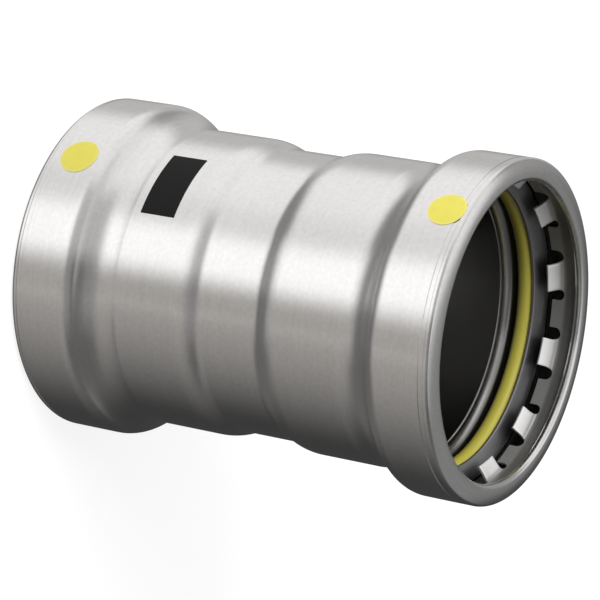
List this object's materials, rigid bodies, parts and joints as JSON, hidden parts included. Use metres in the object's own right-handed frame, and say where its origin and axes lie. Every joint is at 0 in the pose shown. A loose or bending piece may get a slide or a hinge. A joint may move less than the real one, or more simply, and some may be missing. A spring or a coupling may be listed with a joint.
{
  "type": "press fit pipe coupling",
  "caption": "Straight steel press coupling with a beaded socket at each end, each holding a toothed grip ring, a dished separator ring and a round rubber seal.",
  "frame": {"origin": "centre of the lower mouth, on the plane that the lower lip stands on", "axes": "+Z along the axis towards the upper mouth; -Y towards the line of paint dots and the printed field"},
  "size_m": [0.0904, 0.0905, 0.1259],
  "materials": {
    "plated_steel": "satin zinc-nickel plating, finely brushed round the axis",
    "spring_steel": "bright formed stainless strip",
    "separator_steel": "dull grey stainless sheet",
    "seal_rubber": "smooth lubricated yellow rubber",
    "yellow_paint": "yellow ink dot",
    "black_print": "black ink"
  },
  "bodies": {
    "root": {"body": "plated_steel", "grip_ring_lower": "spring_steel", "grip_ring_upper": "spring_steel", "separator_ring_lower": "separator_steel", "separator_ring_upper": "separator_steel", "seal_lower": "seal_rubber", "seal_upper": "seal_rubber", "paint_dot_lower": "yellow_paint", "paint_dot_upper": "yellow_paint", "print_field": "black_print"}
  },
  "joints": []
}
